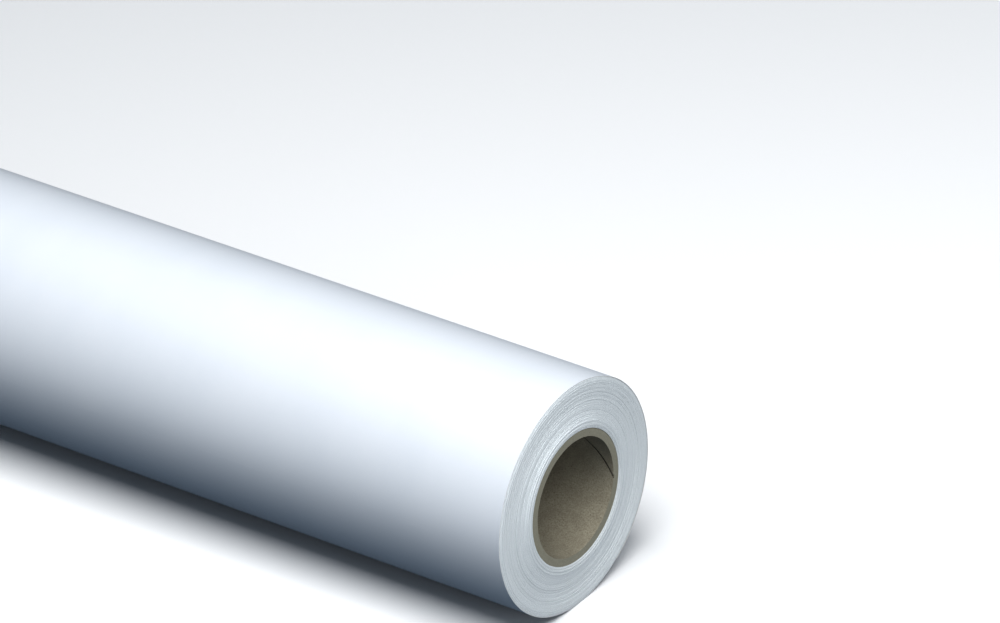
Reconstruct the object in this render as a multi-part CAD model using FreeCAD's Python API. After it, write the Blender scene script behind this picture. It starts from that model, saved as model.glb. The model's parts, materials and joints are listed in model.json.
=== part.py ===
"""Roll of self-adhesive sign vinyl, wound on a spiral-wound chipboard core.

The roll's axis is X, with the core's bore centred on the origin, and Z points up. Angles round the
roll are in degrees, from the back (+Y) towards the top (+Z), so the front is at 180 and the roll
rests on 270. The web is a film, its adhesive and a paper liner, wound film side out. Its free edge
is taped down under the back of the roll, and its last stretch lifts away on three living hinges.
"""
import FreeCAD, Part
import math
import os

V = FreeCAD.Vector
X_AXIS = V(1, 0, 0)
ORIGIN = V(0, 0, 0)

# Driving dimensions, in millimetres and degrees.
WEB_WIDTH = 610.0           # width of the vinyl, a 24 inch roll
CORE_BORE_R = 25.4          # a standard 2 inch core
PLY_THICKNESS = 0.54        # one strip of chipboard
PLY_COUNT = 6
PLY_PITCH = 106.0           # how far a strip climbs along the core in one turn
SEAM_GAP = 0.9              # gap at the innermost strip's butt joint, measured along the core
SEAM_ANGLE = 351.0          # where that joint meets the +X end

FILM = 0.080                # the vinyl itself
ADHESIVE = 0.024
LINER = 0.160               # silicone-coated paper
TURNS = 80                  # turns of web, the free last one included

START_TAPE_WIDTH = 25.0     # double-sided tape that starts the web on the core
START_TAPE_THICKNESS = 0.09
START_TAPE_INSET = 6.0      # its ends stop short of the web's edges
START_TAPE_ANGLE = 214.0

EDGE_ANGLE = 300.0          # where the web's free edge lies
TAIL_ANGLE = 45.0           # where the last turn starts to lift
TAIL_SEGMENTS = 3
HINGE_GAP = 0.25            # slot between neighbouring stretches at a living hinge
TAIL_CLEARANCE = 0.10       # air under the free stretch

TAPE_WIDTH = 24.0           # tabs of masking tape on the free edge
TAPE_LENGTH = 38.0
TAPE_THICKNESS = 0.13
TAPE_COUNT = 2
TAPE_SPACING = 300.0        # between the middles of the tabs, along the roll
TAPE_RAMP = 1.6             # length over which a tab steps down off the edge

ARC_STEP = 2.4              # longest arc in the free layers, so a coarse mesh stays within them

# The edges of the wound turns are not level. Each entry is the distance out from the core, as a
# share of the wound thickness, and how far the turns there stand out at the +X end. The web is as
# wide everywhere, so turns that stand out at one end are sunk by the same amount at the other.
END_WAVE = (
    (0.000, 0.00), (0.041, 0.20), (0.085, 0.30), (0.115, 0.28), (0.209, -0.08), (0.305, -0.43),
    (0.353, -0.51), (0.425, -0.56), (0.497, -0.70), (0.560, -0.79), (0.605, -0.79), (0.622, -0.88),
    (0.640, -0.78), (0.785, -0.65), (0.900, -0.56), (0.945, -0.62), (1.000, -0.82),
)

# Derived sizes.
CORE_LENGTH = WEB_WIDTH     # the core is cut to the web's width
CORE_OUTER_R = CORE_BORE_R + PLY_COUNT * PLY_THICKNESS
WEB = FILM + ADHESIVE + LINER
PACK_R = CORE_OUTER_R + (TURNS - 1) * WEB    # radius under the last turn, where that turn starts
LAST_TURN_X = END_WAVE[-1][1]                # the last turn stands where the wave ends
TAIL_SPAN = TAIL_ANGLE - (EDGE_ANGLE - 360)
SEGMENT_SPAN = TAIL_SPAN / TAIL_SEGMENTS

# The radius grows by one web in a turn. Two half circles about slightly different centres, which
# meet on the line through EDGE_ANGLE, make that spiral without a kink. The first half starts at
# EDGE_ANGLE, where the last turn starts, and the second half ends under the free edge.
HALF_ANGLE = EDGE_ANGLE - 180
FIRST_R = PACK_R + WEB / 4
SECOND_R = PACK_R + 3 * WEB / 4


def round_axis(radius, angle, centre=ORIGIN):
    """The point at a radius and angle round a centre, in the plane X = 0."""
    turn = math.radians(angle)
    return V(0, centre.y + radius * math.cos(turn), centre.z + radius * math.sin(turn))


FIRST_CENTRE = round_axis(WEB / 4, HALF_ANGLE)
SECOND_CENTRE = round_axis(WEB / 4, EDGE_ANGLE)


def save(node, shape):
    """Write one sub-part, which has to be one sound solid."""
    solids = shape.Solids
    if len(solids) != 1 or not solids[0].isValid():
        raise ValueError(f"{node} is not one sound solid")
    solids[0].exportStep(f"parts/{node}.step")


def arc(radius, start, end, centre=ORIGIN):
    """An arc round a centre, drawn in the plane X = 0."""
    angles = (start, (start + end) / 2, end)
    return Part.Arc(*(round_axis(radius, angle, centre) for angle in angles)).toShape()


def arcs(radius, start, end, centre=ORIGIN):
    """An arc in equal steps no longer than ARC_STEP."""
    count = math.ceil(abs(end - start) / ARC_STEP)
    angles = [start + (end - start) * step / count for step in range(count + 1)]
    return [arc(radius, *pair, centre) for pair in zip(angles, angles[1:])]


def line(start, end):
    """A straight edge."""
    return Part.LineSegment(start, end).toShape()


def ends_of(path):
    """The first and last points of a list of edges drawn nose to tail."""
    return path[0].valueAt(path[0].FirstParameter), path[-1].valueAt(path[-1].LastParameter)


def ring_sector(inner, outer, length, middle_x=0):
    """Fill between two lists of edges that run the same way and stretch it along X."""
    inner_start, inner_end = ends_of(inner)
    outer_start, outer_end = ends_of(outer)
    caps = [line(inner_start, outer_start), line(inner_end, outer_end)]
    wire = Part.Wire(Part.__sortEdges__(inner + outer + caps))
    solid = Part.Face(wire).extrude(X_AXIS * length)
    solid.translate(V(middle_x - length / 2, 0, 0))
    return solid


def tube(inner_r, outer_r, length):
    """A plain tube about X, centred on the origin."""
    start = V(-length / 2, 0, 0)
    outer = Part.makeCylinder(outer_r, length, start, X_AXIS)
    return outer.cut(Part.makeCylinder(inner_r, length, start, X_AXIS))


def seam_cutter(inner_r, outer_r):
    """The helical slot at an open butt joint, which meets the +X end at SEAM_ANGLE."""
    overrun = PLY_PITCH / 8
    margin = PLY_THICKNESS / 3
    height = CORE_LENGTH + 2 * overrun
    helix = Part.makeLongHelix(PLY_PITCH, height, (inner_r + outer_r) / 2, 0, True)
    low, high = inner_r - margin, outer_r + margin
    corners = [
        V(low, 0, -SEAM_GAP / 2), V(high, 0, -SEAM_GAP / 2),
        V(high, 0, SEAM_GAP / 2), V(low, 0, SEAM_GAP / 2), V(low, 0, -SEAM_GAP / 2),
    ]
    sweep = Part.BRepOffsetAPI.MakePipeShell(Part.Wire(helix))
    sweep.setFrenetMode(True)
    sweep.add(Part.makePolygon(corners))
    sweep.build()
    sweep.makeSolid()
    slot = sweep.shape()
    slot.translate(V(0, 0, -height / 2))
    slot.rotate(ORIGIN, V(0, 0, 1), SEAM_ANGLE + 360 * (CORE_LENGTH + overrun) / PLY_PITCH)
    slot.rotate(ORIGIN, V(1, 1, 1), 120)
    return slot


def core_ply(index):
    """One chipboard strip, wound into a tube. Only the innermost one's butt joint stands open."""
    inner_r = CORE_BORE_R + index * PLY_THICKNESS
    outer_r = inner_r + PLY_THICKNESS
    ply = tube(inner_r, outer_r, CORE_LENGTH)
    return ply if index else ply.cut(seam_cutter(inner_r, outer_r))


def start_tape():
    """The tape between the core and the first turn."""
    half_span = math.degrees(START_TAPE_WIDTH / 2 / CORE_OUTER_R)
    start, end = START_TAPE_ANGLE - half_span, START_TAPE_ANGLE + half_span
    inner = arcs(CORE_OUTER_R, start, end)
    outer = arcs(CORE_OUTER_R + START_TAPE_THICKNESS, start, end)
    return ring_sector(inner, outer, WEB_WIDTH - 2 * START_TAPE_INSET)


def first_half(depth):
    """The spiral's first half at a height above the turns below, run back from its middle."""
    return arc(FIRST_R + depth, HALF_ANGLE, EDGE_ANGLE, FIRST_CENTRE)


def second_half(depth, end=EDGE_ANGLE - 360):
    """The spiral's second half at a height above the turns below, run back from its end."""
    return arc(SECOND_R + depth, end, HALF_ANGLE, SECOND_CENTRE)


def end_wave_solid():
    """A body of revolution whose two ends follow the uneven edges of the turns."""
    thickness = PACK_R - CORE_OUTER_R
    reach = CORE_OUTER_R / 2
    near = [V(WEB_WIDTH / 2 + height, CORE_OUTER_R + share * thickness, 0)
            for share, height in END_WAVE]
    near.insert(0, V(near[0].x, CORE_OUTER_R - reach, 0))
    near.append(V(near[-1].x, PACK_R + reach, 0))
    far = [point - X_AXIS * WEB_WIDTH for point in reversed(near)]
    outline = Part.makePolygon(near + far + near[:1])
    return Part.Face(outline).revolve(ORIGIN, X_AXIS, 360)


def wound_turns():
    """All the turns under the last one, as one body with a step where the last turn starts."""
    path = [second_half(0), first_half(0)]
    step_low, step_high = ends_of(path)[1], ends_of(path)[0]
    wire = Part.Wire(Part.__sortEdges__(path + [line(step_low, step_high)]))
    reach = CORE_OUTER_R - CORE_BORE_R
    length = WEB_WIDTH + 2 * reach
    body = Part.Face(wire).extrude(X_AXIS * length)
    body.translate(V(-length / 2, 0, 0))
    body = body.cut(Part.makeCylinder(CORE_OUTER_R, length, V(-length / 2, 0, 0), X_AXIS))
    return body.common(end_wave_solid()).cut(start_tape())


def outer_turn(low, high):
    """One layer of the last turn, from where it starts to where the free stretch starts."""
    inner = [second_half(low, TAIL_ANGLE), first_half(low)]
    outer = [second_half(high, TAIL_ANGLE), first_half(high)]
    return ring_sector(inner, outer, WEB_WIDTH, LAST_TURN_X)


def tail_layer(segment, low, high):
    """One layer of one stretch of the free tail, from hinge to hinge."""
    under = SECOND_R + TAIL_CLEARANCE
    half_gap = math.degrees(HINGE_GAP / 2 / (under + WEB / 2))
    start = TAIL_ANGLE - segment * SEGMENT_SPAN - half_gap
    end = TAIL_ANGLE - (segment + 1) * SEGMENT_SPAN
    if segment < TAIL_SEGMENTS - 1:
        end += half_gap
    inner = arcs(under + low, end, start, SECOND_CENTRE)
    outer = arcs(under + high, end, start, SECOND_CENTRE)
    return ring_sector(inner, outer, WEB_WIDTH, LAST_TURN_X)


def tape_outline(height):
    """One face of a tab: on the tail, down over its edge, then on the turn below."""
    tail_r = SECOND_R + TAIL_CLEARANCE + WEB + height
    roll_r = FIRST_R + WEB + TAIL_CLEARANCE + height
    reach = math.degrees(TAPE_LENGTH / 2 / tail_r)
    ramp = math.degrees(TAPE_RAMP / tail_r)
    on_tail = arc(tail_r, EDGE_ANGLE + reach, EDGE_ANGLE, SECOND_CENTRE)
    on_roll = arc(roll_r, EDGE_ANGLE - ramp, EDGE_ANGLE - reach, FIRST_CENTRE)
    step_top = ends_of([on_tail])[1]
    step_foot = ends_of([on_roll])[0]
    return [on_tail, line(step_top, step_foot), on_roll]


def edge_tape(middle_x):
    """A tab of masking tape that holds the free edge down, and lifts with it."""
    return ring_sector(tape_outline(0), tape_outline(TAPE_THICKNESS), TAPE_WIDTH, middle_x)


def main():
    """Build every sub-part and report the sizes that the joints use."""
    os.makedirs("parts", exist_ok=True)
    layers = {
        "liner": (0, LINER),
        "adhesive": (LINER, LINER + ADHESIVE),
        "film": (LINER + ADHESIVE, WEB),
    }
    for index in range(PLY_COUNT):
        save(f"core_ply_{index + 1}", core_ply(index))
    save("start_tape", start_tape())
    save("wound_turns", wound_turns())
    for layer, (low, high) in layers.items():
        save(f"outer_turn_{layer}", outer_turn(low, high))
        for segment in range(TAIL_SEGMENTS):
            save(f"tail_{segment + 1}_{layer}", tail_layer(segment, low, high))
    for index in range(TAPE_COUNT):
        middle_x = TAPE_SPACING * (index - (TAPE_COUNT - 1) / 2)
        save(f"edge_tape_{index + 1}", edge_tape(middle_x))
    hinge_r = SECOND_R + TAIL_CLEARANCE + WEB / 2
    for segment in range(TAIL_SEGMENTS):
        angle = TAIL_ANGLE - segment * SEGMENT_SPAN
        print("hinge", segment + 1, round_axis(hinge_r, angle, SECOND_CENTRE))
    print("core outer radius", CORE_OUTER_R, "radius under the last turn", PACK_R)


main()
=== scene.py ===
"""A roll of white sign vinyl on a spiral-wound chipboard core, dressed and lit in a plain studio.

Lengths are in metres and angles in degrees. The roll's axis is X. Angles round it run from the back
(+Y) towards the top (+Z), so the front is at 180 and the roll rests on 270. The web is a film, its
adhesive and a paper liner. It winds outwards as its angle falls, and its free edge lies at 300.
"""

import json
import logging
import math
from dataclasses import dataclass, field
from enum import Enum
from typing import Dict, List, Optional, Sequence, Tuple, Union

import bpy
from mathutils import Matrix, Vector


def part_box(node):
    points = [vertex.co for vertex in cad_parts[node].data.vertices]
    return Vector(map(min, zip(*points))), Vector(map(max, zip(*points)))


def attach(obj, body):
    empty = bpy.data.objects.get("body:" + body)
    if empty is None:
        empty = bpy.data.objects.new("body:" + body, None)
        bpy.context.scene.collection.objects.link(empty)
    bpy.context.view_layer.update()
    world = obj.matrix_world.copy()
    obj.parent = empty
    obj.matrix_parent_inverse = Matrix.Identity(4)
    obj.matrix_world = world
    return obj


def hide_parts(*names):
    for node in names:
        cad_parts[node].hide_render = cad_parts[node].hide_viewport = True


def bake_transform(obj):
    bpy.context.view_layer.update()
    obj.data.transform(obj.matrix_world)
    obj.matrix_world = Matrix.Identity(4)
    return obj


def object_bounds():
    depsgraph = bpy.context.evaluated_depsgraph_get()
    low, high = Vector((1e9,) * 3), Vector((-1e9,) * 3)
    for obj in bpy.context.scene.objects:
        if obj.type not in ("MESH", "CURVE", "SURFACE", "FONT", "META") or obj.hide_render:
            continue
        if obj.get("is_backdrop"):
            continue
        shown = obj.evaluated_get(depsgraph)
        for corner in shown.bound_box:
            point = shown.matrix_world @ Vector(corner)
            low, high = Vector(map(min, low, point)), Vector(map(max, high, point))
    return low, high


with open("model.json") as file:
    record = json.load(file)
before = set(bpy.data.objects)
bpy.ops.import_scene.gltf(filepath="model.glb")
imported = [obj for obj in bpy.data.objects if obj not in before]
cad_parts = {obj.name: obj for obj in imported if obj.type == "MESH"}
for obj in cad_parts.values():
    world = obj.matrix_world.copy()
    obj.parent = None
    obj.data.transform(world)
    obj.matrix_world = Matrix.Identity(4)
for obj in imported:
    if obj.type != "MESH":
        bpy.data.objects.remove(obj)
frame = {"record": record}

LOG = logging.getLogger("sign_vinyl_roll")
MM = 0.001
TURN = 360.0
Colour = Tuple[float, float, float]


class Layer(Enum):
    """The web's layers, from the inside out, each with its slot in the record."""

    LINER = "liner_paper"
    ADHESIVE = "adhesive"
    FILM = "vinyl_film"

    @property
    def word(self) -> str:
        """The layer's word in the names of the frame's nodes."""
        return self.name.lower()


class Body(Enum):
    """The rigid bodies, from the roll out to the free edge."""

    ROLL = "roll"
    TAIL_1 = "tail_1"
    TAIL_2 = "tail_2"
    TAIL_3 = "tail_3"


class Value:
    """A number that varies over a surface: an output socket whose arithmetic adds math nodes."""

    def __init__(self, tree: bpy.types.NodeTree, socket: bpy.types.NodeSocket) -> None:
        """Wrap one output socket of a tree."""
        self.tree = tree
        self.socket = socket

    def math(self, operation: str, *others: Union["Value", float],
             clamp: bool = False) -> "Value":
        """Add a math node.

        Args:
            operation: the node's operation.
            others: its second and third values, where it has them.
            clamp: whether the result is held between 0 and 1.

        Returns:
            The node's result.
        """
        node = self.tree.nodes.new("ShaderNodeMath")
        node.operation = operation
        node.use_clamp = clamp
        for place, value in enumerate((self, *others)):
            if isinstance(value, Value):
                self.tree.links.new(value.socket, node.inputs[place])
            else:
                node.inputs[place].default_value = value
        return Value(self.tree, node.outputs[0])

    def __add__(self, other: Union["Value", float]) -> "Value":
        """Sum."""
        return self.math("ADD", other)

    def __sub__(self, other: Union["Value", float]) -> "Value":
        """Difference."""
        return self.math("SUBTRACT", other)

    def __mul__(self, other: Union["Value", float]) -> "Value":
        """Product."""
        return self.math("MULTIPLY", other)

    def __truediv__(self, other: Union["Value", float]) -> "Value":
        """Quotient."""
        return self.math("DIVIDE", other)

    def at_least(self, low: Union["Value", float]) -> "Value":
        """The larger of this and low."""
        return self.math("MAXIMUM", low)

    def at_most(self, high: Union["Value", float]) -> "Value":
        """The smaller of this and high."""
        return self.math("MINIMUM", high)

    def above(self, limit: Union["Value", float]) -> "Value":
        """1 where this is more than limit, else 0."""
        return self.math("GREATER_THAN", limit)

    def ramp(self, low: float, high: float) -> "Value":
        """0 at low and before it, 1 at high and past it, with a soft start and stop."""
        node = self.tree.nodes.new("ShaderNodeMapRange")
        node.interpolation_type = "SMOOTHSTEP"
        self.tree.links.new(self.socket, node.inputs["Value"])
        node.inputs["From Min"].default_value = low
        node.inputs["From Max"].default_value = high
        return Value(self.tree, node.outputs["Result"])


class Graph:
    """A node tree with short ways to add and join its nodes."""

    def __init__(self, tree: bpy.types.NodeTree) -> None:
        """Wrap a tree."""
        self.tree = tree

    def add(self, kind: str, settings: Optional[Dict[str, object]] = None,
            **inputs: object) -> bpy.types.Node:
        """Add a node.

        Args:
            kind: the node's type.
            settings: the node's own properties.
            inputs: its sockets by name, with _ for a space, each given a Value, an output socket
                or a constant.

        Returns:
            The new node.
        """
        node = self.tree.nodes.new(kind)
        for name, value in (settings or {}).items():
            setattr(node, name, value)
        for name, value in inputs.items():
            self.set(node, name.replace("_", " "), value)
        return node

    def set(self, node: bpy.types.Node, name: str, value: object) -> None:
        """Link or set one input of a node."""
        target = node.inputs[name]
        source = value.socket if isinstance(value, Value) else value
        if isinstance(source, bpy.types.NodeSocket):
            self.tree.links.new(source, target)
        else:
            target.default_value = source

    def value(self, node: bpy.types.Node, output: Union[int, str] = 0) -> Value:
        """One output of a node as a number to reckon with."""
        return Value(self.tree, node.outputs[output])

    def vector(self, x: object, y: object, z: object) -> bpy.types.NodeSocket:
        """Three numbers as one vector."""
        return self.add("ShaderNodeCombineXYZ", X=x, Y=y, Z=z).outputs[0]


# ---------------------------------------------------------------- geometry trees


class PieceTree(Graph):
    """A Geometry Nodes tree that makes one kind of piece, with named inputs."""

    WELD = 0.0002 * MM

    def __init__(self, name: str, sizes: Dict[str, float]) -> None:
        """Make the tree and its inputs.

        Args:
            name: the tree's name.
            sizes: its inputs and their usual values.
        """
        super().__init__(bpy.data.node_groups.new(name, "GeometryNodeTree"))
        face = self.tree.interface
        face.new_socket(name="Geometry", in_out="OUTPUT", socket_type="NodeSocketGeometry")
        self.identifiers: Dict[str, str] = {}
        for size, usual in sizes.items():
            whole = isinstance(usual, int)
            kind = "NodeSocketInt" if whole else "NodeSocketFloat"
            socket = face.new_socket(name=size, in_out="INPUT", socket_type=kind)
            socket.default_value = usual
            self.identifiers[size] = socket.identifier
        socket = face.new_socket(name="Finish", in_out="INPUT", socket_type="NodeSocketMaterial")
        self.identifiers["Finish"] = socket.identifier
        self.inputs = self.tree.nodes.new("NodeGroupInput")

    def size(self, name: str) -> Value:
        """One of the tree's named inputs."""
        return self.value(self.inputs, name)

    def loft(self, rows: object, columns: object) -> Tuple[bpy.types.NodeSocket, Value, Value]:
        """Lay out a sheet of quads, to be placed by its rows and columns.

        Args:
            rows: how many points run along the piece.
            columns: how many points run round its section.

        Returns:
            The sheet, and the row and column that each of its points is in.
        """
        grid = self.add("GeometryNodeMeshGrid", Size_X=1.0, Size_Y=1.0, Vertices_X=rows,
                        Vertices_Y=columns)
        point = self.add("GeometryNodeInputPosition").outputs[0]
        place = self.add("ShaderNodeSeparateXYZ", Vector=point)
        counts = []
        for axis, count in (("X", rows), ("Y", columns)):
            last = count - 1 if isinstance(count, Value) else float(count - 1)
            share = self.value(place, axis) + 0.5
            counts.append((share * last).math("ROUND"))
        return grid.outputs["Mesh"], counts[0], counts[1]

    def round_axis(self, x: Value, radius: Value, degrees: Value) -> bpy.types.NodeSocket:
        """The point at a place along the axis, a radius and an angle round it."""
        turn = degrees * math.radians(1)
        return self.vector(x, radius * turn.math("COSINE"), radius * turn.math("SINE"))

    def keep(self, mesh: bpy.types.NodeSocket, name: str, value: Value,
             domain: str = "POINT") -> bpy.types.NodeSocket:
        """Store a number on the mesh, for the finish to read."""
        store = self.add("GeometryNodeStoreNamedAttribute",
                         {"data_type": "FLOAT", "domain": domain}, Geometry=mesh, Name=name)
        self.tree.links.new(value.socket, store.inputs["Value"])
        return store.outputs["Geometry"]

    def move(self, mesh: bpy.types.NodeSocket, place: bpy.types.NodeSocket) -> bpy.types.NodeSocket:
        """Put each point in its place."""
        return self.add("GeometryNodeSetPosition", Geometry=mesh, Position=place).outputs[0]

    def finish(self, mesh: bpy.types.NodeSocket, crease: float = 30.0) -> None:
        """Weld the seams, shade edges up to crease smooth, set the finish and end the tree."""
        weld = self.add("GeometryNodeMergeByDistance", Geometry=mesh, Distance=self.WELD)
        soft = self.add("GeometryNodeSetShadeSmooth", {"domain": "FACE"}, Geometry=weld.outputs[0])
        angle = self.value(self.add("GeometryNodeInputMeshEdgeAngle"), "Unsigned Angle")
        flat = self.value(self.add("FunctionNodeBooleanMath", {"operation": "NOT"}))
        self.tree.links.new(angle.above(math.radians(crease)).socket, flat.socket.node.inputs[0])
        sharp = self.add("GeometryNodeSetShadeSmooth", {"domain": "EDGE"}, Geometry=soft.outputs[0])
        self.set(sharp, "Shade Smooth", flat)
        real = self.add("GeometryNodeRealizeInstances", Geometry=sharp.outputs[0])
        dress = self.add("GeometryNodeSetMaterial", Geometry=real.outputs[0],
                         Material=self.inputs.outputs["Finish"])
        self.add("NodeGroupOutput", Geometry=dress.outputs[0])

    def make(self, name: str, finish: bpy.types.Material, **sizes: float) -> bpy.types.Object:
        """Make one piece as a plain mesh.

        Args:
            name: the piece's name.
            finish: its material.
            sizes: the inputs that differ from the usual, by name, with _ for a space.

        Returns:
            The piece, whose place is in its mesh.
        """
        source = bpy.data.objects.new(name + ".source", bpy.data.meshes.new(name + ".source"))
        bpy.context.scene.collection.objects.link(source)
        modifier = source.modifiers.new("Tree", "NODES")
        modifier.node_group = self.tree
        modifier[self.identifiers["Finish"]] = finish
        for size, value in sizes.items():
            modifier[self.identifiers[size.replace("_", " ")]] = value
        graph = bpy.context.evaluated_depsgraph_get()
        mesh = bpy.data.meshes.new_from_object(
            source.evaluated_get(graph), preserve_all_data_layers=True, depsgraph=graph)
        bpy.data.objects.remove(source)
        mesh.name = name
        piece = bpy.data.objects.new(name, mesh)
        bpy.context.scene.collection.objects.link(piece)
        LOG.info("%s: %d faces", name, len(mesh.polygons))
        return piece


class RibbonTree(PieceTree):
    """A ribbon wound on itself round the X axis: an Archimedean spiral of a bevelled section."""

    CORNERS = 8

    # How the turns stray: waves a turn and weight. The sunk ones: waves a turn, the noise between
    # which they go from level to sunk, and how far they sink, in strays.
    DRIFTS = ((0.83, 0.8), (0.37, 1.0), (0.19, 0.6))
    SUNK_WAVES = 0.41
    SUNK_RANGE = (0.40, 0.22)
    SUNK_DEPTH = 1.6

    def __init__(self, wave: Sequence[Tuple[float, float]]) -> None:
        """Make the tree.

        Args:
            wave: how far the ribbon's edges stand out along X, as (share of the way from Core
                Radius to Full Radius, metres).
        """
        super().__init__("wound_ribbon", {
            "Width": 0.61, "Thickness": 0.264 * MM, "Bevel": 0.02 * MM, "Pitch": 0.264 * MM,
            "Core Radius": 0.02864, "Full Radius": 0.0499, "Start Radius": 0.02864,
            "Start Angle": 0.0, "Turns": 1.0, "Steps Per Turn": 120, "Middle": 0.0,
            "Wave": 0.0, "Stray": 0.0, "Stray Seed": 11.0,
            "Lift": 0.0, "Lift From": 0.0, "Lift To": 1.0,
        })
        steps = (self.size("Steps Per Turn") * self.size("Turns")).math("CEIL")
        sheet, row, column = self.loft(steps + 3, self.CORNERS + 1)
        step = (row - 1).at_least(0.0).at_most(steps)
        turns = step / steps * self.size("Turns")
        degrees = self.size("Start Angle") - turns * TURN
        inside = self.size("Start Radius") + self.size("Pitch") * turns
        lift_span = self.size("Lift From") - self.size("Lift To")
        lift = (self.size("Lift From") - degrees) / lift_span
        inside = inside + self.size("Lift") * lift.ramp(0, 1)

        # The section is a rectangle with bevelled corners, whose points sit at the odd sixteenths.
        corner = column * math.radians(TURN / self.CORNERS) + math.radians(TURN / self.CORNERS / 2)
        across, up = corner.math("COSINE"), corner.math("SINE")
        on_edge = across.math("ABSOLUTE").above(up.math("ABSOLUTE"))
        on_face = on_edge.math("MULTIPLY_ADD", -1.0, 1.0)
        half_width = self.size("Width") / 2 - self.size("Bevel") * on_face
        half_height = self.size("Thickness") / 2 - self.size("Bevel") * on_edge
        capped = row.above(0.5) * (steps + 1.5 - row).above(0.0)
        x = across.math("SIGN") * half_width * capped
        height = up.math("SIGN") * half_height * capped
        radius = inside + self.size("Thickness") / 2 + height

        wall = self.size("Full Radius") - self.size("Core Radius")
        share = (inside - self.size("Core Radius")) / wall
        x = x + self.size("Middle") + self.wave(wave, share) * self.size("Wave")
        sunk = self.drift(turns, self.SUNK_WAVES).ramp(*self.SUNK_RANGE)
        x = x + (self.stray(turns) - sunk * self.SUNK_DEPTH) * self.size("Stray")
        mesh = self.keep(sheet, "through", (height / self.size("Thickness")) + 0.5)
        mesh = self.keep(mesh, "sunk", sunk)
        mesh = self.keep(mesh, "turns", turns)
        self.finish(self.move(mesh, self.round_axis(x, radius, degrees)))

    def wave(self, points: Sequence[Tuple[float, float]], share: Value) -> Value:
        """A smooth curve through the wave's points, in metres.

        Args:
            points: the wave's points, as in __init__.
            share: where on the wave.

        Returns:
            How far out the ribbon stands there.
        """
        reach = 2 * max(abs(height) for _, height in points)
        node = self.add("ShaderNodeFloatCurve", Value=share)
        curve = node.mapping.curves[0]
        while len(curve.points) < len(points):
            curve.points.new(0.5, 0.5)
        for point, (place, height) in zip(curve.points, sorted(points)):
            point.location = (place, 0.5 + height / reach)
            point.handle_type = "AUTO_CLAMPED"
        node.mapping.update()
        return (self.value(node) - 0.5) * reach

    def stray(self, turns: Value) -> Value:
        """How each turn strays from its neighbours, from about -1 to 1, smooth along the ribbon."""
        total = None
        for scale, weight in self.DRIFTS:
            part = (self.drift(turns, scale) - 0.5) * (2 * weight)
            total = part if total is None else total + part
        return total

    def drift(self, turns: Value, scale: float) -> Value:
        """Noise from 0 to 1 along the ribbon, of so many waves a turn."""
        place = turns * scale + self.size("Stray Seed")
        return self.value(self.add("ShaderNodeTexNoise", {"noise_dimensions": "1D"}, W=place,
                                   Scale=1.0, Detail=0.0))


class PlyTree(PieceTree):
    """A strip wound into a tube along a helix, with an open butt joint and square-cut ends."""

    def __init__(self) -> None:
        """Make the tree."""
        super().__init__("core_ply", {
            "Inner Radius": 0.0254, "Thickness": 0.54 * MM, "Length": 0.61, "Pitch": 0.106,
            "Seam Gap": 0.5 * MM, "Seam Angle": 351.0, "Steps Per Turn": 120,
        })
        half = self.size("Length") / 2
        gap = self.size("Seam Gap") / self.size("Pitch")
        turns = self.size("Length") / self.size("Pitch") + 1 - gap
        steps = (turns * self.size("Steps Per Turn")).math("CEIL")
        sheet, row, column = self.loft(steps + 1, 5)
        along = row / steps * turns + gap / 2 - 1
        degrees = self.size("Seam Angle") + along * TURN
        seam = half - along * self.size("Pitch")
        outer = column.above(0.5) * column.math("LESS_THAN", 2.5)
        far_edge = seam - self.size("Pitch") + self.size("Seam Gap") / 2
        near_edge = seam - self.size("Seam Gap") / 2
        x = near_edge + (far_edge - near_edge) * column.math("LESS_THAN", 3.5) * column.above(1.5)
        inner = self.size("Inner Radius")
        radius = inner + self.size("Thickness") * outer
        x = x.at_most(half).at_least(half * -1.0)
        point = self.add("GeometryNodeInputPosition").outputs[0]
        share = self.value(self.add("ShaderNodeSeparateXYZ", Vector=point), "Y") + 0.5
        wall = (share * 2.0).math("FRACT").math("LESS_THAN", 0.5)
        mesh = self.keep(sheet, "wall", wall, "FACE")
        mesh = self.move(mesh, self.round_axis(x, radius, degrees))
        self.finish(self.add("GeometryNodeFlipFaces", Mesh=mesh).outputs[0])


# ---------------------------------------------------------------- finishes


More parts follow.
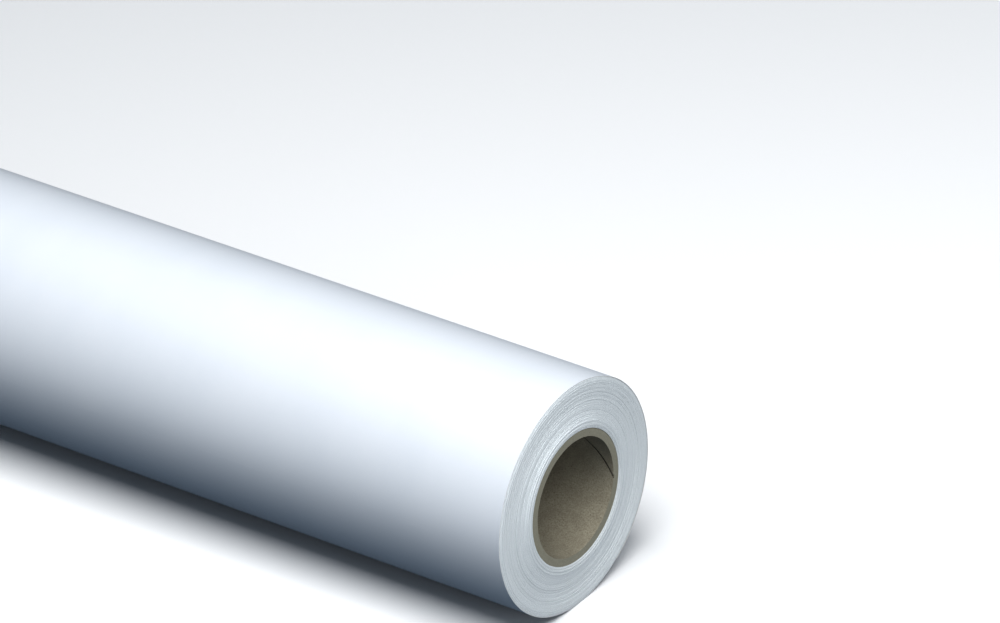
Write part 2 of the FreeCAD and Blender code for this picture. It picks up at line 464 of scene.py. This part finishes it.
class FinishGraph(Graph):
    """A material's nodes, with one Principled surface."""

    def __init__(self, name: str, colour: Colour, roughness: float, specular: float = 0.5) -> None:
        """Make the material.

        Args:
            name: its name.
            colour: its usual colour, linear.
            roughness: its usual roughness.
            specular: how much it reflects face on.
        """
        self.material = bpy.data.materials.new(name)
        self.material.use_nodes = True
        self.material.diffuse_color = (*colour, 1)
        super().__init__(self.material.node_tree)
        self.surface = self.tree.nodes["Principled BSDF"]
        self.surface.inputs["Base Color"].default_value = (*colour, 1)
        self.surface.inputs["Roughness"].default_value = roughness
        self.surface.inputs["Specular IOR Level"].default_value = specular
        self.place = self.add("ShaderNodeTexCoord").outputs["Object"]
        self.heights: List[Tuple[bpy.types.NodeSocket, float, float]] = []

    def round_roll(self) -> Tuple[Value, Value, Value]:
        """Where a point is on the roll: along its axis, round it in radians, and out from it."""
        apart = self.add("ShaderNodeSeparateXYZ", Vector=self.place)
        x, y, z = (self.value(apart, axis) for axis in "XYZ")
        angle = z.math("ARCTAN2", y)
        return x, angle, (y * y + z * z).math("SQRT")

    def kept(self, name: str) -> Value:
        """A number that the piece's tree kept on its mesh."""
        return self.value(self.add("ShaderNodeAttribute", {"attribute_name": name}), "Fac")

    def noise(self, place: bpy.types.NodeSocket, scale: float, detail: float = 2.0,
              roughness: float = 0.5) -> Value:
        """Cloudy noise from 0 to 1."""
        return self.value(self.add("ShaderNodeTexNoise", Vector=place, Scale=scale, Detail=detail,
                                   Roughness=roughness), 0)

    def cells(self, place: bpy.types.NodeSocket, scale: float, output: str = "Distance") -> Value:
        """Scattered cells: the distance to the nearest one's middle."""
        return self.value(self.add("ShaderNodeTexVoronoi", Vector=place, Scale=scale), output)

    def mix(self, share: object, first: object, second: object) -> bpy.types.NodeSocket:
        """Mix two colours."""
        node = self.add("ShaderNodeMix", {"data_type": "RGBA"})
        self.set(node, "Factor", share)
        for place, colour in ((6, first), (7, second)):
            if isinstance(colour, bpy.types.NodeSocket):
                self.tree.links.new(colour, node.inputs[place])
            else:
                node.inputs[place].default_value = (*colour, 1)
        return node.outputs[2]

    def colour(self, colour: bpy.types.NodeSocket) -> None:
        """Give the surface its colour."""
        self.tree.links.new(colour, self.surface.inputs["Base Color"])

    def roughen(self, value: Value) -> None:
        """Give the surface its roughness."""
        held = value.math("ADD", 0.0, clamp=True)
        self.tree.links.new(held.socket, self.surface.inputs["Roughness"])

    def bump(self, height: Value, depth: float, strength: float = 1.0) -> None:
        """Add relief.

        Args:
            height: its shape, from 0 to 1.
            depth: its real depth, in metres.
            strength: how much of it shows.
        """
        node = self.add("ShaderNodeBump", Height=height, Distance=depth, Strength=strength)
        normal = self.surface.inputs["Normal"]
        if normal.is_linked:
            self.tree.links.new(normal.links[0].from_socket, node.inputs["Normal"])
        self.tree.links.new(node.outputs[0], normal)


@dataclass(frozen=True)
class VinylFinish:
    """Calendered white film: even, satin, with faint gauge bands and a fine grain."""

    white: Colour = (0.815, 0.845, 0.885)
    shade: Colour = (0.785, 0.82, 0.865)
    roughness: float = 0.46
    grain_scale: float = 2600.0
    cloud_scale: float = 45.0
    band_depth: float = 0.03 * MM
    grain_depth: float = 0.004 * MM

    def material(self, name: str = "white_vinyl") -> bpy.types.Material:
        """Make the material."""
        graph = FinishGraph(name, self.white, self.roughness, 0.35)
        x, angle, radius = graph.round_roll()
        bands = graph.noise(graph.vector(x * 26.0, angle * 0.35, radius * 4.0), 1.0, 3.0)
        grain = graph.noise(graph.place, self.grain_scale, 2.0, 0.6)
        cloud = graph.noise(graph.place, self.cloud_scale, 3.0)
        graph.colour(graph.mix((bands + cloud * 0.8).ramp(0.55, 1.3), self.white, self.shade))
        graph.roughen((grain * 0.10) + (cloud * 0.10) + (self.roughness - 0.10))
        graph.bump(bands, self.band_depth)
        graph.bump(grain, self.grain_depth)
        return graph.material


@dataclass(frozen=True)
class LinerFinish:
    """Silicone-coated paper: smooth, slightly warm, with a trace of fibre."""

    white: Colour = (0.80, 0.79, 0.75)
    fibre: Colour = (0.70, 0.68, 0.62)
    roughness: float = 0.33
    cloud_scale: float = 120.0
    fibre_depth: float = 0.012 * MM

    def material(self, name: str = "liner_paper") -> bpy.types.Material:
        """Make the material."""
        graph = FinishGraph(name, self.white, self.roughness, 0.5)
        x, angle, radius = graph.round_roll()
        fibres = graph.noise(graph.vector(x * 900.0, angle * 22.0, radius * 60.0), 1.0, 4.0, 0.65)
        cloud = graph.noise(graph.place, self.cloud_scale, 3.0)
        fibrous = (fibres * 0.7 + cloud * 0.5).ramp(0.5, 0.95)
        graph.colour(graph.mix(fibrous, self.white, self.fibre))
        graph.roughen(fibres * 0.22 + (self.roughness - 0.08))
        graph.bump(fibres, self.fibre_depth)
        return graph.material


@dataclass(frozen=True)
class AdhesiveFinish:
    """A thin clear line of acrylic adhesive, a little grey where it catches dust."""

    clear: Colour = (0.66, 0.68, 0.69)
    dusty: Colour = (0.48, 0.48, 0.46)
    roughness: float = 0.22
    dust_scale: float = 700.0
    dust_depth: float = 0.006 * MM

    def material(self, name: str = "adhesive_line") -> bpy.types.Material:
        """Make the material."""
        graph = FinishGraph(name, self.clear, self.roughness, 0.5)
        dust = graph.noise(graph.place, self.dust_scale, 3.0, 0.6)
        graph.colour(graph.mix(dust.ramp(0.45, 0.8), self.clear, self.dusty))
        graph.roughen(dust * 0.3 + 0.1)
        graph.bump(dust, self.dust_depth)
        return graph.material


@dataclass(frozen=True)
class WebEdgeFinish:
    """The slit edges of the turns: film, adhesive and liner as fine lines, over the film's face."""

    film: Colour = (0.845, 0.88, 0.90)
    adhesive: Colour = (0.50, 0.54, 0.56)
    liner: Colour = (0.775, 0.80, 0.80)
    # Grey mixed in for dust at random, and as painted shade on the sunk turns.
    dust: Colour = (0.56, 0.59, 0.60)
    liner_share: float = 0.60
    film_share: float = 0.70
    layer_blend: float = 0.02
    nick_depth: float = 0.02 * MM
    roughness: float = 0.62

    def material(self, name: str = "slit_web") -> bpy.types.Material:
        """Make the material."""
        graph = FinishGraph(name, self.film, self.roughness, 0.3)
        through, turns, sunk = (graph.kept(name) for name in ("through", "turns", "sunk"))
        x, angle, radius = graph.round_roll()
        past_liner = through.ramp(self.liner_share, self.liner_share + self.layer_blend)
        in_film = through.ramp(self.film_share - self.layer_blend, self.film_share)
        layers = graph.mix(in_film, graph.mix(past_liner, self.liner, self.adhesive), self.film)
        nicks = graph.noise(graph.vector(angle * 160.0, radius * 5200.0, x * 400.0), 1.0, 3.0, 0.6)
        batch = graph.noise(graph.vector(turns * 0.55, 0.0, 0.0), 1.0, 2.0)
        # Grey for dust at random along the edges and by batches of turns; the sunk turns get more
        # of it, as painted shade in their recesses.
        dust = (nicks * 0.45 + batch * 0.75).ramp(0.5, 0.85) * 0.30 + sunk * 0.35
        graph.colour(graph.mix(dust.at_most(1.0), layers, self.dust))
        graph.roughen(nicks * 0.2 + (self.roughness - 0.1))
        graph.bump(nicks, self.nick_depth)
        return graph.material


@dataclass(frozen=True)
class ChipboardFinish:
    """Recycled grey-brown board: mottled, with dark and pale flecks and short fibres."""

    board: Colour = (0.318, 0.292, 0.230)
    pale: Colour = (0.47, 0.44, 0.355)
    dark: Colour = (0.14, 0.125, 0.10)
    cut: Colour = (0.325, 0.318, 0.258)
    # Near black: painted shade for the walls of the ply seams, where the gap lies in shadow.
    painted_seam_shade: Colour = (0.035, 0.032, 0.026)
    roughness: float = 0.86
    shift: float = 0.0
    length: float = 0.61
    unrolled_at: float = 0.0254
    cut_depth: float = 0.02 * MM
    cloud_depth: float = 0.10 * MM
    fibre_depth: float = 0.05 * MM

    def material(self, name: str = "chipboard") -> bpy.types.Material:
        """Make the material."""
        graph = FinishGraph(name, self.board, self.roughness, 0.2)
        x, angle, radius = graph.round_roll()
        sheet = graph.vector(x + self.shift, angle * self.unrolled_at, radius * 2.0)
        cloud = graph.noise(sheet, 190.0, 4.0, 0.65)
        flecks = graph.noise(sheet, 1500.0, 3.0, 0.75)
        fibres = graph.noise(graph.vector(x * 650.0, angle * 55.0, radius * 1200.0), 1.0, 3.0, 0.6)
        spots = graph.cells(sheet, 420.0)
        pale = (cloud * 0.35 + flecks * 0.8).ramp(0.46, 0.76) * 0.75
        colour = graph.mix(pale, self.board, self.pale)
        colour = graph.mix(flecks.ramp(0.30, 0.42) * -0.4 + 0.4, colour, self.dark)
        colour = graph.mix(spots.math("LESS_THAN", 0.085) * 0.65, colour, self.dark)
        colour = graph.mix(fibres.ramp(0.55, 0.75) * 0.35, colour, self.pale)
        wall = graph.kept("wall")
        end = x.math("ABSOLUTE").above(self.length / 2 - self.cut_depth)
        colour = graph.mix(end * (flecks * -0.8 + 1.0), colour, self.cut)
        # The seam walls, but not the cut ends, go most of the way to near black: painted shade in
        # the seam gaps.
        graph.colour(graph.mix((wall - end).at_least(0.0) * 0.85, colour, self.painted_seam_shade))
        graph.bump(cloud, self.cloud_depth, 0.6)
        graph.bump(fibres + flecks, self.fibre_depth)
        return graph.material


@dataclass(frozen=True)
class MaskingTapeFinish:
    """Creped cream paper tape."""

    cream: Colour = (0.72, 0.60, 0.36)
    pale: Colour = (0.80, 0.70, 0.48)
    roughness: float = 0.6
    cloud_scale: float = 380.0
    crepe_depth: float = 0.06 * MM

    def material(self, name: str = "masking_tape") -> bpy.types.Material:
        """Make the material."""
        graph = FinishGraph(name, self.cream, self.roughness, 0.4)
        x, angle, _ = graph.round_roll()
        crepe = graph.noise(graph.vector(x * 110.0, angle * 95.0, 0.0), 1.0, 3.0, 0.6)
        cloud = graph.noise(graph.place, self.cloud_scale, 3.0)
        graph.colour(graph.mix((crepe * 0.8 + cloud * 0.4).ramp(0.4, 0.85), self.cream, self.pale))
        graph.roughen(crepe * 0.25 + (self.roughness - 0.12))
        graph.bump(crepe, self.crepe_depth)
        return graph.material


@dataclass(frozen=True)
class StartTapeFinish:
    """Thin amber double-sided tape, tacky and a little uneven."""

    amber: Colour = (0.62, 0.50, 0.30)
    thin: Colour = (0.70, 0.62, 0.46)
    roughness: float = 0.35
    streak_depth: float = 0.01 * MM

    def material(self, name: str = "start_tape") -> bpy.types.Material:
        """Make the material."""
        graph = FinishGraph(name, self.amber, self.roughness, 0.5)
        x, angle, _ = graph.round_roll()
        streaks = graph.noise(graph.vector(x * 30.0, angle * 60.0, 0.0), 1.0, 3.0, 0.6)
        graph.colour(graph.mix(streaks.ramp(0.4, 0.7), self.amber, self.thin))
        graph.roughen(streaks * 0.2 + (self.roughness - 0.1))
        graph.bump(streaks, self.streak_depth)
        return graph.material


@dataclass(frozen=True)
class PaperFloorFinish:
    """Background paper, seen as white, but throwing back a darker, bluer light than it shows."""

    white: Colour = (0.98, 0.98, 0.98)
    thrown: Colour = (0.100, 0.130, 0.165)
    tooth_scale: float = 900.0
    tooth_depth: float = 0.02 * MM

    def material(self, name: str = "background_paper") -> bpy.types.Material:
        """Make the material."""
        graph = FinishGraph(name, self.white, 0.9, 0.1)
        seen = graph.value(graph.add("ShaderNodeLightPath"), "Is Camera Ray")
        tooth = graph.noise(graph.place, self.tooth_scale, 2.0)
        graph.colour(graph.mix(seen, self.thrown, self.white))
        graph.bump(tooth, self.tooth_depth)
        return graph.material


# ---------------------------------------------------------------- the roll


@dataclass
class Core:
    """The spiral-wound chipboard core: plies wound on helices, of which the innermost's is open."""

    plies: int = 6
    ply_pitch: float = 106 * MM
    open_seam: float = 0.9 * MM
    tight_seam: float = 0.04 * MM
    open_seam_angle: float = 351.0
    stagger: float = 37.0
    board_shift: float = 0.37
    outer_radius: float = field(init=False)
    bore_radius: float = field(init=False)
    length: float = field(init=False)

    def __post_init__(self) -> None:
        """Read the core's sizes from the frame."""
        bore = next(m for m in frame["record"]["mounts"] if m["name"] == "core_bore")
        self.bore_radius = bore["dims"]["r_mm"] * MM
        self.length = bore["dims"]["length_mm"] * MM
        self.outer_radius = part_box(f"core_ply_{self.plies}")[1].z

    @property
    def ply(self) -> float:
        """How thick a ply is."""
        return (self.outer_radius - self.bore_radius) / self.plies

    def build(self) -> List[bpy.types.Object]:
        """Wind the plies.

        Returns:
            The plies, from the inside out.
        """
        tree = PlyTree()
        made = []
        for index in range(self.plies):
            board = ChipboardFinish(shift=self.board_shift * index, length=self.length)
            finish = board.material(f"chipboard_{index + 1}")
            ply = tree.make(
                f"chipboard_ply_{index + 1}", finish,
                Inner_Radius=self.bore_radius + index * self.ply, Thickness=self.ply,
                Length=self.length, Pitch=self.ply_pitch,
                Seam_Gap=self.tight_seam if index else self.open_seam,
                Seam_Angle=self.open_seam_angle + index * self.stagger)
            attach(ply, Body.ROLL.value)
            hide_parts(f"core_ply_{index + 1}")
            made.append(ply)
        return made


@dataclass
class Web:
    """The vinyl web: the wound turns, the last turn and its free end, in its three layers."""

    core: Core
    film: float = 0.080 * MM
    adhesive: float = 0.024 * MM
    liner: float = 0.160 * MM
    turns: int = 80
    edge_angle: float = 300.0
    tail_angle: float = 45.0
    segment_span: float = 35.0
    bend_facings: Tuple[float, ...] = (5.0, -80.0, -115.0)
    tail_lift: float = 0.10 * MM
    lift_span: float = 20.0
    air: float = 0.001 * MM
    stray: float = 0.06 * MM
    wound_bevel: float = 0.018 * MM
    layer_bevel: float = 0.01 * MM
    wound_steps: int = 120
    last_steps: int = 360
    width: float = field(init=False)
    last_turn_x: float = field(init=False)

    # How the edges of the turns stand out at the +X end: share of the wound thickness, metres.
    WAVE = (
        (0.000, 0.00 * MM), (0.041, 0.20 * MM), (0.085, 0.30 * MM), (0.115, 0.28 * MM),
        (0.209, -0.08 * MM), (0.305, -0.43 * MM), (0.353, -0.51 * MM), (0.425, -0.56 * MM),
        (0.497, -0.70 * MM), (0.560, -0.79 * MM), (0.605, -0.79 * MM), (0.622, -0.88 * MM),
        (0.640, -0.78 * MM), (0.785, -0.65 * MM), (0.900, -0.56 * MM), (0.945, -0.62 * MM),
        (1.000, -0.82 * MM),
    )

    def __post_init__(self) -> None:
        """Read the width from the frame and make the tree that winds every ribbon."""
        low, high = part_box("outer_turn_film")
        self.width = high.x - low.x
        self.last_turn_x = (low.x + high.x) / 2
        self.tree = RibbonTree(self.WAVE)

    @property
    def thickness(self) -> float:
        """The web's thickness."""
        return self.film + self.adhesive + self.liner

    @property
    def last_radius(self) -> float:
        """The radius under the last turn, where it starts."""
        return self.core.outer_radius + (self.turns - 1) * self.thickness

    def layer(self, layer: Layer) -> Tuple[float, float]:
        """How far above the turn below a layer starts, and how thick it is."""
        return {
            Layer.LINER: (0.0, self.liner),
            Layer.ADHESIVE: (self.liner, self.adhesive),
            Layer.FILM: (self.liner + self.adhesive, self.film),
        }[layer]

    def radius_at(self, degrees: float) -> float:
        """The radius under the last turn or its free end, at an angle."""
        return self.last_radius + self.thickness * (self.edge_angle - degrees) / TURN

    def point(self, degrees: float) -> Vector:
        """A point of the web's inner face, in the roll's middle plane."""
        turn = math.radians(degrees)
        return Vector((0, math.cos(turn), math.sin(turn))) * self.radius_at(degrees)

    def build_wound(self) -> bpy.types.Object:
        """Wind every turn but the last as one ribbon.

        Returns:
            The wound turns.
        """
        turns = self.turns - 1
        wound = self.tree.make(
            "wound_web", WebEdgeFinish().material(),
            Width=self.width, Thickness=self.thickness - self.air, Bevel=self.wound_bevel,
            Pitch=self.thickness,
            Core_Radius=self.core.outer_radius, Full_Radius=self.last_radius,
            Start_Radius=self.core.outer_radius, Start_Angle=self.edge_angle + turns * TURN,
            Turns=float(turns), Steps_Per_Turn=self.wound_steps, Wave=1.0, Stray=self.stray)
        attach(wound, Body.ROLL.value)
        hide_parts("wound_turns")
        length = math.pi * (self.last_radius ** 2 - self.core.outer_radius ** 2) / self.thickness
        return wound

    def stretches(self) -> List[Tuple[float, float, Tuple[Body, Body], Vector, Vector]]:
        """The last turn's lengths, each spanning two bodies, and where a bend in the free end would
        start and end.

        Returns:
            For each, its first and last angles, its two bodies, and where its bend starts and ends.
        """
        bend = self.segment_span / 2
        bodies = list(Body)
        found = []
        first = self.edge_angle
        for index, facing in enumerate(self.bend_facings):
            hinge = self.tail_angle - index * self.segment_span
            last = hinge - bend if index < 2 else self.edge_angle - TURN
            start, end = self.point(hinge + bend), self.point(hinge - bend)
            way = Vector((0, math.cos(math.radians(facing)), math.sin(math.radians(facing))))
            found.append((first, last, (bodies[index], bodies[index + 1]), start,
                          start + way * way.dot(end - start)))
            first = last
        return found

    def build_last_turn(self) -> List[bpy.types.Object]:
        """Make the last turn and the free end, layer by layer.

        Returns:
            The pieces.
        """
        finishes = {
            Layer.LINER: LinerFinish().material(),
            Layer.ADHESIVE: AdhesiveFinish().material(),
            Layer.FILM: VinylFinish().material(),
        }
        made = []
        for number, (first, last, bodies, start, end) in enumerate(self.stretches(), 1):
            for layer in Layer:
                low, thickness = self.layer(layer)
                piece = self.tree.make(
                    f"last_turn_{layer.word}_{number}", finishes[layer],
                    Width=self.width, Thickness=thickness,
                    Bevel=min(self.layer_bevel, thickness / 5),
                    Pitch=self.thickness, Start_Radius=self.radius_at(first) + low,
                    Core_Radius=self.core.outer_radius, Full_Radius=self.last_radius,
                    Start_Angle=first, Turns=(first - last) / TURN, Steps_Per_Turn=self.last_steps,
                    Middle=self.last_turn_x, Lift=self.tail_lift,
                    Lift_From=self.tail_angle + self.lift_span, Lift_To=self.tail_angle)
                nodes = [f"tail_{number}_{layer.word}"]
                if number == 1:
                    nodes.append(f"outer_turn_{layer.word}")
                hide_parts(*nodes)
                arc = math.radians(first - last) * (self.radius_at((first + last) / 2) + low)
                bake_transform(piece)
                made.append(piece)
        return made


@dataclass
class StartTape:
    """The double-sided tape that holds the web's first turn to the core."""

    web: Web
    width: float = 25 * MM
    thickness: float = 0.09 * MM

    def build(self, finish: bpy.types.Material) -> bpy.types.Object:
        """Lay the tape along the core.

        Args:
            finish: its material.

        Returns:
            The tape.
        """
        low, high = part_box("start_tape")
        middle = (low + high) / 2
        span = math.degrees(self.width / self.web.core.outer_radius)
        tape = self.web.tree.make(
            "start_strip", finish, Width=high.x - low.x, Thickness=self.thickness,
            Bevel=self.thickness / 5, Pitch=0.0, Start_Radius=self.web.core.outer_radius,
            Start_Angle=math.degrees(math.atan2(middle.z, middle.y)) % TURN + span / 2,
            Turns=span / TURN, Steps_Per_Turn=120)
        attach(tape, Body.ROLL.value)
        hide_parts("start_tape")
        return tape


@dataclass
class EdgeTape:
    """A tab of masking tape over the free edge."""

    web: Web
    index: int
    width: float = 24 * MM
    length: float = 38 * MM
    thickness: float = 0.13 * MM
    ramp: float = 1.6 * MM
    tooth: float = 0.9 * MM
    crepe: float = 0.012 * MM
    teeth: int = 16
    rows: int = 80
    columns: int = 48

    def surface(self, along: float) -> Tuple[float, float]:
        """The tape's underside.

        Args:
            along: how far past the free edge, in metres round the roll; the tail is before it.

        Returns:
            The angle and the radius.
        """
        web = self.web
        full = web.last_radius + 2 * web.thickness
        degrees = web.edge_angle - math.degrees(along / full)
        on_tail = web.radius_at(degrees - TURN) + web.thickness + web.tail_lift
        on_roll = web.radius_at(degrees) + web.thickness + web.tail_lift
        down = min(max(along / self.ramp, 0.0), 1.0)
        down = down * down * (3 - 2 * down)
        return degrees, on_tail + (on_roll - on_tail) * down

    def build(self, finish: bpy.types.Material) -> bpy.types.Object:
        """Make the tab with torn, toothed ends.

        Args:
            finish: its material.

        Returns:
            The tab.
        """
        low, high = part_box(f"edge_tape_{self.index}")
        middle = (low.x + high.x) / 2
        points, faces = [], []
        for side in (0, 1):
            for row in range(self.rows + 1):
                for column in range(self.columns + 1):
                    across = column / self.columns
                    torn = abs((across * self.teeth) % 1 - 0.5) * 2 * self.tooth
                    reach = self.length / 2 - torn
                    degrees, radius = self.surface(reach * (2 * row / self.rows - 1))
                    crepe = self.crepe * math.sin(row * 2.1 + math.sin(column * 0.9) * 1.3)
                    radius += side * (self.thickness + crepe)
                    turn = math.radians(degrees)
                    x = middle + (across - 0.5) * self.width
                    points.append((x, radius * math.cos(turn), radius * math.sin(turn)))
        self.skin(faces)
        mesh = bpy.data.meshes.new(f"masking_tape_{self.index}")
        mesh.from_pydata(points, [], faces)
        mesh.update()
        mesh.shade_smooth()
        mesh.set_sharp_from_angle(angle=math.radians(40))
        mesh.materials.append(finish)
        piece = bpy.data.objects.new(mesh.name, mesh)
        bpy.context.scene.collection.objects.link(piece)
        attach(piece, Body.TAIL_3.value)
        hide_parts(f"edge_tape_{self.index}")
        LOG.info("%s: %d faces", piece.name, len(mesh.polygons))
        return piece

    def skin(self, faces: List[Tuple[int, int, int, int]]) -> None:
        """Join the points of both faces and the rim into quads.

        Args:
            faces: the list that the quads are added to.
        """
        wide = self.columns + 1
        top = (self.rows + 1) * wide
        for row in range(self.rows):
            for column in range(self.columns):
                a = row * wide + column
                quad = (a, a + wide, a + wide + 1, a + 1)
                faces.append(quad)
                faces.append(tuple(top + corner for corner in reversed(quad)))
        rim = list(range(self.columns))
        rim += [row * wide + self.columns for row in range(self.rows)]
        rim += [self.rows * wide + column for column in range(self.columns, 0, -1)]
        rim += [row * wide for row in range(self.rows, 0, -1)]
        for here, after in zip(rim, rim[1:] + rim[:1]):
            faces.append((here, after, after + top, here + top))


# ---------------------------------------------------------------- the studio


@dataclass
class Studio:
    """A pale floor, a wide softbox overhead, a fill on the open end, and a faint cool room."""

    key_energy: float = 59.5
    key_size: Tuple[float, float] = (2.2, 1.4)
    key_place: Tuple[float, float, float] = (0.95, -0.58, 1.75)
    fill_energy: float = 17.0
    fill_size: Tuple[float, float] = (1.2, 1.0)
    fill_place: Tuple[float, float, float] = (2.1, -0.55, 0.29)
    room_colour: Colour = (0.60, 0.84, 1.10)
    room_strength: float = 0.095
    contrast: float = 1.3
    floor_reach: float = 6.0

    def build(self) -> None:
        """Lay the floor and hang the lights."""
        low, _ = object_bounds()
        reach = self.floor_reach
        mesh = bpy.data.meshes.new("floor")
        corners = [(-reach, -reach, low.z), (reach, -reach, low.z), (reach, reach, low.z),
                   (-reach, reach, low.z)]
        mesh.from_pydata(corners, [], [(0, 1, 2, 3)])
        mesh.materials.append(PaperFloorFinish().material())
        floor = bpy.data.objects.new("floor", mesh)
        bpy.context.scene.collection.objects.link(floor)
        floor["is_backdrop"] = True

        self.hang("softbox", self.key_energy, self.key_size, self.key_place, Vector((0, 0, 1)))
        self.hang("fill", self.fill_energy, self.fill_size, self.fill_place,
                  Vector(self.fill_place))

        world = bpy.data.worlds.new("room")
        world.use_nodes = True
        sky = world.node_tree.nodes["Background"]
        sky.inputs["Color"].default_value = (*self.room_colour, 1)
        sky.inputs["Strength"].default_value = self.room_strength
        bpy.context.scene.world = world
        bpy.context.scene.view_settings.view_transform = "Standard"
        bpy.context.scene.view_settings.gamma = 1 / self.contrast

    def hang(self, name: str, energy: float, size: Tuple[float, float],
             place: Tuple[float, float, float], back: Vector) -> None:
        """Hang a light.

        Args:
            name: its name.
            energy: its power, in watts.
            size: its two sides.
            place: its middle.
            back: which way its back faces.
        """
        lamp = bpy.data.lights.new(name, "AREA")
        lamp.shape = "RECTANGLE"
        lamp.size, lamp.size_y = size
        lamp.energy = energy
        light = bpy.data.objects.new(name, lamp)
        light.location = place
        light.rotation_euler = back.to_track_quat("Z", "Y").to_euler()
        bpy.context.scene.collection.objects.link(light)


@dataclass
class View:
    """The camera, which looks at the open end from the front and above through a long lens."""

    azimuth: float = 38.476
    elevation: float = 31.61
    roll: float = -3.911
    lens: float = 322.54
    distance: float = 3.5413
    end_right: float = 29.93 * MM
    end_down: float = 73.58 * MM
    sight: float = 50.0

    def build(self, end_x: float) -> None:
        """Place the camera.

        Args:
            end_x: where the roll's open end is, along X.
        """
        turn, rise, lean = (math.radians(a) for a in (self.azimuth, self.elevation, self.roll))
        back = Vector((math.sin(turn) * math.cos(rise), -math.cos(turn) * math.cos(rise),
                       math.sin(rise)))
        level = Vector((math.cos(turn), math.sin(turn), 0))
        upright = back.cross(level)
        right = level * math.cos(lean) + upright * math.sin(lean)
        up = upright * math.cos(lean) - level * math.sin(lean)
        aim = Vector((end_x, 0, 0)) - right * self.end_right + up * self.end_down
        camera = bpy.data.objects.new("camera", bpy.data.cameras.new("camera"))
        camera.data.lens = self.lens
        camera.data.clip_end = self.sight
        turned = Matrix((right, up, back)).transposed()
        camera.matrix_world = Matrix.Translation(aim + back * self.distance) @ turned.to_4x4()
        bpy.context.scene.collection.objects.link(camera)
        bpy.context.scene.camera = camera


def main() -> None:
    """Build and dress the roll, then light and frame it."""
    logging.basicConfig(level=logging.INFO, format="%(name)s: %(message)s")
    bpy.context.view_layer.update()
    core = Core()
    core.build()
    web = Web(core)
    web.build_wound()
    web.build_last_turn()
    StartTape(web).build(StartTapeFinish().material())
    tape = MaskingTapeFinish().material()
    for index in (1, 2):
        EdgeTape(web, index).build(tape)
    Studio().build()
    View().build(core.length / 2)


if __name__ == "__main__":
    main()
